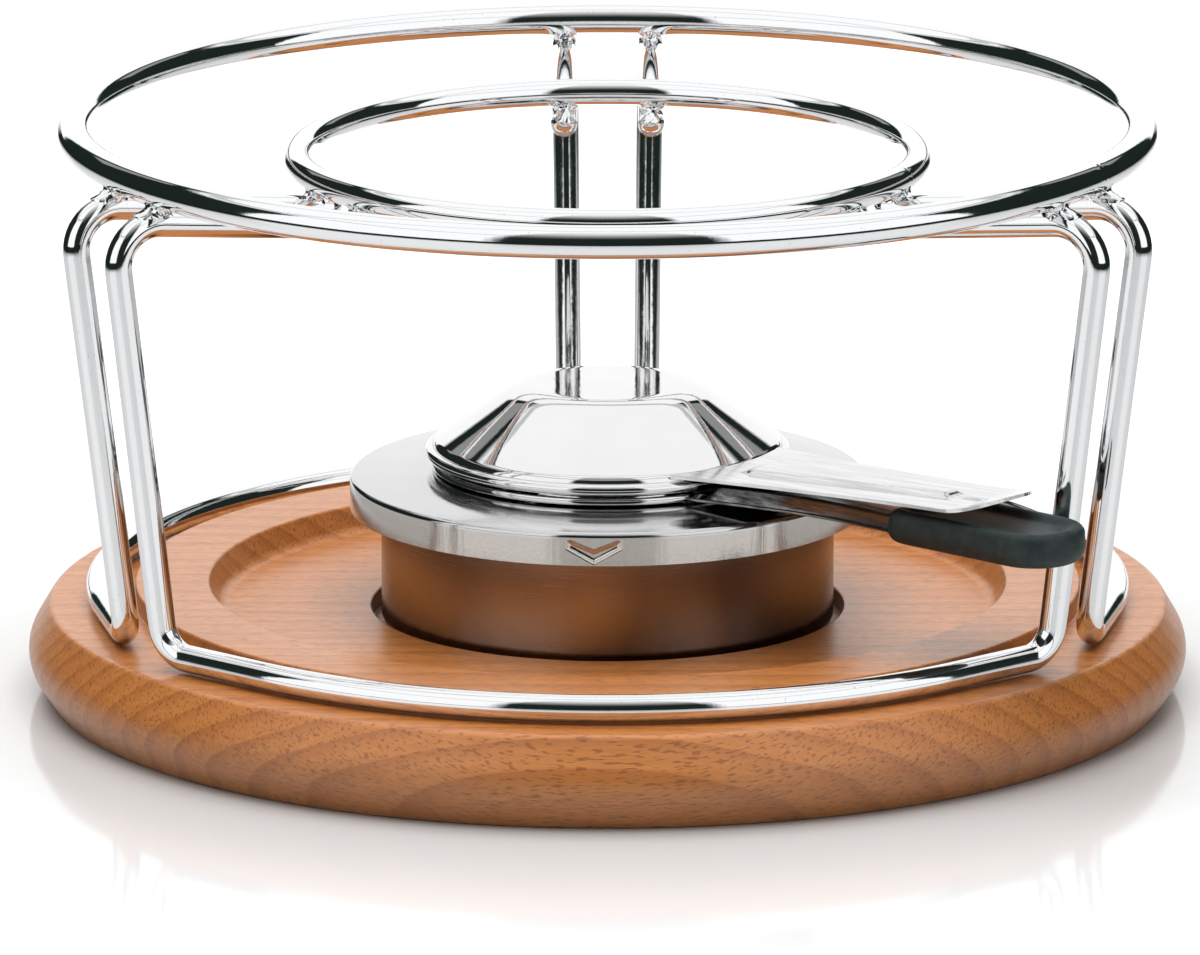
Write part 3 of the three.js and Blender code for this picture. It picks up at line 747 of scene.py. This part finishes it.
def channel_half_width(along):
    root = (LIP_R + GAP) * math.sin(math.radians(CHANNEL_ROOT_ANGLE))
    narrow = 7.0
    t = min(max((along - 35) / (GRIP[0].x - 45), 0.0), 1.0)
    return root + (narrow - root) * t * (2 - t)


def along_handle(points):
    """Points given along, across and up the handle, turned to the handle's azimuth."""
    turn = Matrix.Rotation(math.radians(HANDLE_AZIMUTH), 3, "Z")
    return [turn @ Vector(p) for p in points]


def build_channel():
    """Channel pressed from sheet with sloping sides and a small foot along each edge.

    Its root passes under the snuffer's rim and follows the regulator's lip.
    """
    top, bottom, sheet = CHANNEL[1].z, CHANNEL[0].z, 0.9
    root_r = LIP_R - 0.4
    end = GRIP[0].x + 3
    slope, foot = 1.3, 0.5
    stations = 60
    sections = []
    for i in range(stations + 1):
        t = i / stations
        nominal = root_r * math.cos(math.radians(CHANNEL_ROOT_ANGLE)) * (1 - t) + end * t
        half = channel_half_width(nominal)
        past_rim = min(max((nominal - DOME[1].x - 0.2) / 1.6, 0.0), 1.0)
        crown = ROOT_TOP_Z + (top - ROOT_TOP_Z) * past_rim * past_rim * (3 - 2 * past_rim)
        side = half - foot
        outline = rounded([
            (-half, bottom, 0.1), (-half, bottom + 0.5, 0.2), (-side, bottom + 0.5, 0.2),
            (-side + slope, crown, 1.0), (side - slope, crown, 1.0), (side, bottom + 0.5, 0.2),
            (half, bottom + 0.5, 0.2), (half, bottom, 0.1), (side - sheet, bottom, 0.1),
            (side - slope - sheet, crown - sheet, 0.1), (-side + slope + sheet, crown - sheet, 0.1),
            (-side + sheet, bottom, 0.1),
        ], closed=True, steps=4)
        section = []
        for across, z in outline:
            root_x = math.sqrt(max(root_r ** 2 - across ** 2, 0))
            section.append((root_x * (1 - t) + end * t, across, z))
        sections.append(section)
    points, faces = loft(sections)
    # Painted shade: the channel's steel is darkened for the shade under the strip.
    make_piece("channel_arm", along_handle(points), faces, "regulator", PAINTED_SHADE_ARM_STEEL,
               ["regulator_handle"], sharp=40)


def grip_outline(inset, count=96):
    """Plan of the grip, moved inwards: blunt neck, straight sides, full round end."""
    start, end, half = GRIP[0].x + inset, GRIP[1].x - inset, GRIP[1].y - inset
    corner = max(2.2 - inset * 0.3, 0.6)
    corners = [
        (start, -half, corner), (end, -half, half * 0.999),
        (end, half, half * 0.999), (start, half, corner),
    ]
    dense = rounded(corners, closed=True, steps=24)
    loop = [Vector(p) for p in dense]
    lengths = [(loop[(i + 1) % len(loop)] - loop[i]).length for i in range(len(loop))]
    total = sum(lengths)
    outline, i, walked = [], 0, 0.0
    for k in range(count):
        goal = total * k / count
        while walked + lengths[i] < goal:
            walked += lengths[i]
            i += 1
        outline.append(loop[i].lerp(loop[(i + 1) % len(loop)], (goal - walked) / lengths[i]))
    return outline


def build_grip():
    """Paddle of silicone: rounded foot, full sides, raised rim round a dish."""
    low, high = GRIP[0].z, GRIP[1].z
    middle = (low + high) / 2
    levels = [(6.0, low), (3.6, low)]
    for k in range(7):
        a = math.radians(90 * k / 6)
        levels.append((2.8 - 2.8 * math.sin(a), low + 2.8 - 2.8 * math.cos(a)))
    levels += [(0.0, middle), (0.15, high - 2.4)]
    for k in range(1, 7):
        a = math.radians(90 * k / 6)
        levels.append((0.15 + 1.7 - 1.7 * math.cos(a), high - 1.7 + 1.7 * math.sin(a)))
    for k in range(1, 9):
        t = k / 8
        levels.append((1.85 + 2.9 * t, high - 1.25 * t * t * (3 - 2 * t)))
    levels += [(6.5, high - 1.3), (8.5, high - 1.3)]
    sections = []
    for inset, z in levels:
        sections.append([(p.x, p.y, z) for p in grip_outline(inset)])
    points, faces = loft(sections)
    make_piece("grip_paddle", along_handle(points), faces, "regulator", SILICONE,
               ["silicone_grip"], sharp=60)


# ---------------------------------------------------------------- snuffer
DOME_WALL_R = 34.6
DOME_SLOPE = 34.6


def build_dome():
    """Flat top, broad bend, cone, short wall, and the bead rolled round the rim."""
    top, rim_r, low = DOME[1].z, DOME[1].x, DOME[0].z
    bead, sheet = 1.15, 1.0
    bead_z = low + bead
    corner_r = 17.8
    fall = math.tan(math.radians(DOME_SLOPE))
    rim = []
    for k in range(21):
        a = math.radians(100 - 290 * k / 20)
        rim.append((rim_r - bead + bead * math.cos(a), bead_z + bead * math.sin(a)))
    shoulder_z = top - (DOME_WALL_R - corner_r) * fall
    lift = sheet / math.cos(math.radians(DOME_SLOPE))
    profile = [
        *rounded([(0, top, 0), (corner_r, top, 12.0), (DOME_WALL_R, shoulder_z, 2.3),
                  (DOME_WALL_R, bead_z + 0.9, 0)], steps=14),
        *rim,
        *rounded([(DOME_WALL_R - sheet, bead_z + 0.2, 0),
                  (DOME_WALL_R - sheet, shoulder_z - lift + 0.6, 1.3),
                  (corner_r - 0.4, top - sheet, 11.0), (0, top - sheet, 0)], steps=8),
    ]
    points, faces = lathe(profile, 260)
    make_piece("dome_shell", points, faces, "snuffer", POLISHED, ["snuffer_dome"])


STRIP_ROOT = 30.0
STRIP_LOW = STRIP[0].z


def strip_underside(along):
    lift = max(0.0, along - 96)
    return STRIP_LOW + 0.045 * (along - STRIP_ROOT) + 0.018 * lift * lift


def strip_half_width(along):
    t = min(max((along - STRIP_ROOT) / (92 - STRIP_ROOT), 0.0), 1.0)
    body = 15.6 + (10.6 - 15.6) * t * (1.9 - 0.9 * t)
    to_tip = min(max((STRIP[1].x - along) / 8.5, 0.0), 1.0)
    return body * math.sqrt(1 - (1 - to_tip) ** 2) + 0.4


def strip_relief(along, across):
    """Raised panel that narrows along the strip, and the small oval beyond its end."""
    start, end, flank = 41.0, 91.5, 1.7
    half = 7.8 - 0.1 * (along - start)
    past_start = max(along - start, 0.0)
    corner = 3.0
    if past_start < corner:
        half -= corner - math.sqrt(max(corner ** 2 - (corner - past_start) ** 2, 0.0))
    room = min(half - abs(across), (along - start) * 0.8, (end - along) * 0.8)
    t = min(max(room / flank, 0.0), 1.0)
    oval_off = math.hypot((along - 96.0) / 3.6, across / 1.8)
    oval = 0.45 * max(0.0, 1 - oval_off ** 2)
    return max(0.85 * t * t * (3 - 2 * t), oval)


def build_strip():
    """Snuffer handle: a tapering strip of sheet, its root cut to the wall of the dome."""
    sheet, root, tip = 0.7, STRIP_ROOT, STRIP[1].x
    root_r = DOME_WALL_R + GAP
    rows, columns = 130, 64
    sections = []
    for i in range(rows + 1):
        t = 1 - (1 - i / rows) ** 1.25
        nominal = root + (tip - root) * t
        half = strip_half_width(nominal)
        top_line, under_line = [], []
        for k in range(columns + 1):
            across = half * (2 * k / columns - 1)
            root_x = math.sqrt(root_r ** 2 - across ** 2) if abs(across) < root_r else 0.0
            along = root_x + (tip - root_x) * t
            base = strip_underside(along) + 1.0 - sheet
            relief = strip_relief(along, across)
            top_line.append((along, across, base + sheet + relief))
            under_line.append((along, across, base + relief * 0.9))
        sections.append(top_line + under_line[::-1])
    points, faces = loft(sections)
    make_piece("snuffer_strip", along_handle(points), faces, "snuffer", STRIP_STEEL,
               ["snuffer_handle"], sharp=50)


# ---------------------------------------------------------------- studio
CAMERA_DISTANCE = 2641.0
CAMERA_ELEVATION = 13.17
CAMERA_LENS = 399.1
CAMERA_PIVOT = Vector((0, 0, 60))
CAMERA_AIM = Vector((-1.5, 0, 42.4))
DARK = (0.012, 0.018, 0.016)
FLOOR_DROP = 0.05 * MM
SKY_STRENGTH = 1.12
SOFTBOX_WATTS = 27


def build_camera():
    data = bpy.data.cameras.new("camera")
    data.sensor_width = 36
    data.lens = CAMERA_LENS
    data.clip_start = 0.05
    data.clip_end = 100
    camera = bpy.data.objects.new("camera", data)
    elevation = math.radians(CAMERA_ELEVATION)
    back = Vector((0, -math.cos(elevation), math.sin(elevation)))
    camera.location = (CAMERA_PIVOT + back * CAMERA_DISTANCE) * MM
    look = CAMERA_AIM * MM - camera.location
    camera.rotation_euler = look.to_track_quat("-Z", "Y").to_euler()
    bpy.context.scene.collection.objects.link(camera)
    bpy.context.scene.camera = camera


def build_floor():
    """Glossy white table top, in metres.

    The camera sees it darker round the base and brightening away from it, which is painted shade.
    Polished metal sees it darker, a dark glow beyond half a metre standing in for a floor in darkness,
    and white straight behind the object, all painted reflection.
    """
    m = Finish("white_floor", Specular_IOR_Level=0.5)
    reach = m.add("VectorMath", output=1, settings={"operation": "LENGTH"}, _0=m.place())
    away = m.math("DIVIDE", reach, 1000)
    glossy = m.add("LightPath", output=3)
    back = m.add("SeparateXYZ", output=1, Vector=m.place())
    # Painted shade: the floor's colour darkens round the base for the camera. Painted reflection: metal
    # sees the floor dark except straight behind the object.
    behind = m.ramp(m.math("DIVIDE", back, reach), [(0.92, 0.0), (0.96, 1.0)])
    painted_shade_falloff = m.ramp(away, [(0.115, 0.0), (0.30, 1.0)])
    bright = m.math("MULTIPLY", painted_shade_falloff, m.math("SUBTRACT", 1.0, glossy))
    bright = m.math("MAXIMUM", bright, m.math("MULTIPLY", behind, glossy))
    m.set(m.shader, "Base Color", m.mix(bright, (0.48, 0.48, 0.48), (0.93, 0.93, 0.93)))
    mottle = m.noise(m.place((0.02, 0.02, 0.02)), detail=2)
    m.set(m.shader, "Roughness", m.ramp(mottle, [(0.3, 0.07), (0.7, 0.11)]))
    # Painted reflection: beyond half a metre metal sees a dark glow in place of the floor, except
    # straight behind the object.
    painted_far_darkness = m.ramp(away, [(0.46, 0.0), (0.66, 1.0)])
    beyond = m.math("MULTIPLY", painted_far_darkness, m.math("SUBTRACT", 1.0, behind))
    dark = m.add("Emission", Color=(*DARK, 1), Strength=1.0)
    swap = m.math("MULTIPLY", beyond, glossy)
    mixed = m.add("MixShader", Fac=swap, _1=m.shader.outputs[0], _2=dark)
    m.tree.links.new(mixed, m.output.inputs[0])
    mesh = bpy.data.meshes.new("table_top")
    half = 6.0
    corners = [(-half, -half, 0), (half, -half, 0), (half, half, 0), (-half, half, 0)]
    mesh.from_pydata(corners, [], [(0, 1, 2, 3)])
    mesh.materials.append(m.material)
    floor = bpy.data.objects.new("table_top", mesh)
    floor.location.z = -FLOOR_DROP
    bpy.context.scene.collection.objects.link(floor)


class Sky:
    """World shader: a white tent with dark gaps, seen in the chrome."""

    def __init__(self):
        world = bpy.data.worlds.new("studio")
        world.use_nodes = True
        bpy.context.scene.world = world
        self.tree = world.node_tree
        self.background = self.tree.nodes["Background"]
        ray = self.tree.nodes.new("ShaderNodeTexCoord").outputs["Generated"]
        split = self.tree.nodes.new("ShaderNodeSeparateXYZ")
        self.tree.links.new(ray, split.inputs[0])
        self.x, self.y, self.z = split.outputs

    def math(self, operation, a, b=0.0, c=0.0, clamp=False):
        node = self.tree.nodes.new("ShaderNodeMath")
        node.operation = operation
        node.use_clamp = clamp
        for socket, value in zip(node.inputs, (a, b, c)):
            if isinstance(value, bpy.types.NodeSocket):
                self.tree.links.new(value, socket)
            else:
                socket.default_value = value
        return node.outputs[0]

    def rise(self, value, low, high, smooth=False):
        """0 up to low and 1 from high on."""
        t = self.math("DIVIDE", self.math("SUBTRACT", value, low), high - low, clamp=True)
        if not smooth:
            return t
        square = self.math("MULTIPLY", t, t)
        return self.math("MULTIPLY", square, self.math("MULTIPLY_ADD", t, -2.0, 3.0))

    def window(self, value, low, high, soft):
        """1 between low and high, falling to 0 over the soft width."""
        up = self.rise(value, low - soft / 2, low + soft / 2)
        down = self.rise(value, high - soft / 2, high + soft / 2)
        return self.math("MULTIPLY", up, self.math("SUBTRACT", 1.0, down))

    def blend(self, factor, a, b):
        """a where the factor is 0, b where it is 1."""
        kept = self.math("MULTIPLY", a, self.math("SUBTRACT", 1.0, factor))
        return self.math("ADD", kept, self.math("MULTIPLY", b, factor))


def build_sky():
    """A white tent, dim towards the camera's side and dark low on its flanks."""
    sky = Sky()
    degrees = 180 / math.pi
    elevation = sky.math("MULTIPLY", sky.math("ARCSINE", sky.z), degrees)
    frontward = sky.math("MULTIPLY", sky.y, -1.0)
    # 0 towards the camera's side of the tent, 180 behind the object.
    swing = sky.math("MULTIPLY", sky.math("ARCTAN2", sky.math("ABSOLUTE", sky.x), frontward), degrees)
    pitch = sky.math("MULTIPLY", sky.math("ARCTAN2", sky.z, frontward), degrees)

    seams = sky.math("MAXIMUM", sky.window(pitch, 88.5, 91.5, 1.0), sky.window(pitch, 131, 134, 1.0))
    seams = sky.math("MAXIMUM", seams, sky.window(elevation, 44, 47, 1.0))
    level = sky.math("SUBTRACT", 1.0, sky.math("MULTIPLY", seams, 0.45))
    flank = sky.math("MULTIPLY", sky.window(swing, 80, 156, 2), sky.window(elevation, -40, 42, 3))
    panel = sky.math("MULTIPLY", sky.window(swing, 141, 150.5, 1), sky.window(elevation, 21, 38, 1))
    level = sky.blend(flank, level, sky.math("MULTIPLY", panel, 0.27))
    in_front = sky.math("SUBTRACT", 1.0, sky.rise(swing, 22, 26))
    level = sky.blend(in_front, level, sky.rise(elevation, 28, 90, smooth=True))
    level = sky.math("MULTIPLY", level, sky.rise(elevation, -5, -3))

    tint = sky.tree.nodes.new("ShaderNodeMix")
    tint.data_type = "RGBA"
    tint.inputs[6].default_value = (*DARK, 1)
    tint.inputs[7].default_value = (1, 1, 1, 1)
    camera_ray = sky.tree.nodes.new("ShaderNodeLightPath").outputs["Is Camera Ray"]
    sky.tree.links.new(sky.math("MAXIMUM", level, camera_ray), tint.inputs[0])
    sky.tree.links.new(tint.outputs[2], sky.background.inputs["Color"])
    sky.background.inputs["Strength"].default_value = SKY_STRENGTH


def build_light(name, place, aim, size, watts):
    data = bpy.data.lights.new(name, "AREA")
    data.shape = "RECTANGLE"
    data.size, data.size_y = size
    data.energy = watts
    light = bpy.data.objects.new(name, data)
    light.location = Vector(place)
    light.rotation_euler = (Vector(aim) - light.location).to_track_quat("-Z", "Y").to_euler()
    light.visible_glossy = False
    bpy.context.scene.collection.objects.link(light)


def build_studio():
    build_camera()
    build_floor()
    build_sky()
    build_light("top_softbox", (-0.1, 0, 1.3), (0, 0, 0), (1.6, 1.3), SOFTBOX_WATTS)
    bpy.context.scene.view_settings.view_transform = "Standard"


build_studio()
build_base()
build_loop("loop_front", "front_loop", LEG_PAIR_AZIMUTHS[0], LEG_PAIR_AZIMUTHS[1])
build_loop("loop_back_right", "back_right_loop", LEG_PAIR_AZIMUTHS[1], LEG_PAIR_AZIMUTHS[2])
build_loop("loop_back_left", "back_left_loop", LEG_PAIR_AZIMUTHS[2], LEG_PAIR_AZIMUTHS[0])
build_ring("ring_outer", "outer_ring", OUTER_R, OUTER_Z, RING_WIRE_R, OUTER_SEAM_AZIMUTH)
build_ring("ring_inner", "inner_ring", INNER_R, INNER_Z, WIRE_R, INNER_SEAM_AZIMUTH)
build_welds("welds_outer", OUTER_R, OUTER_Z, RING_WIRE_R)
build_welds("welds_inner", INNER_R, INNER_Z, WIRE_R)
build_cup()
build_tin()
build_cover()
build_skirt_band()
build_collar()
build_regulator_ring()
build_channel()
build_grip()
build_dome()
build_strip()
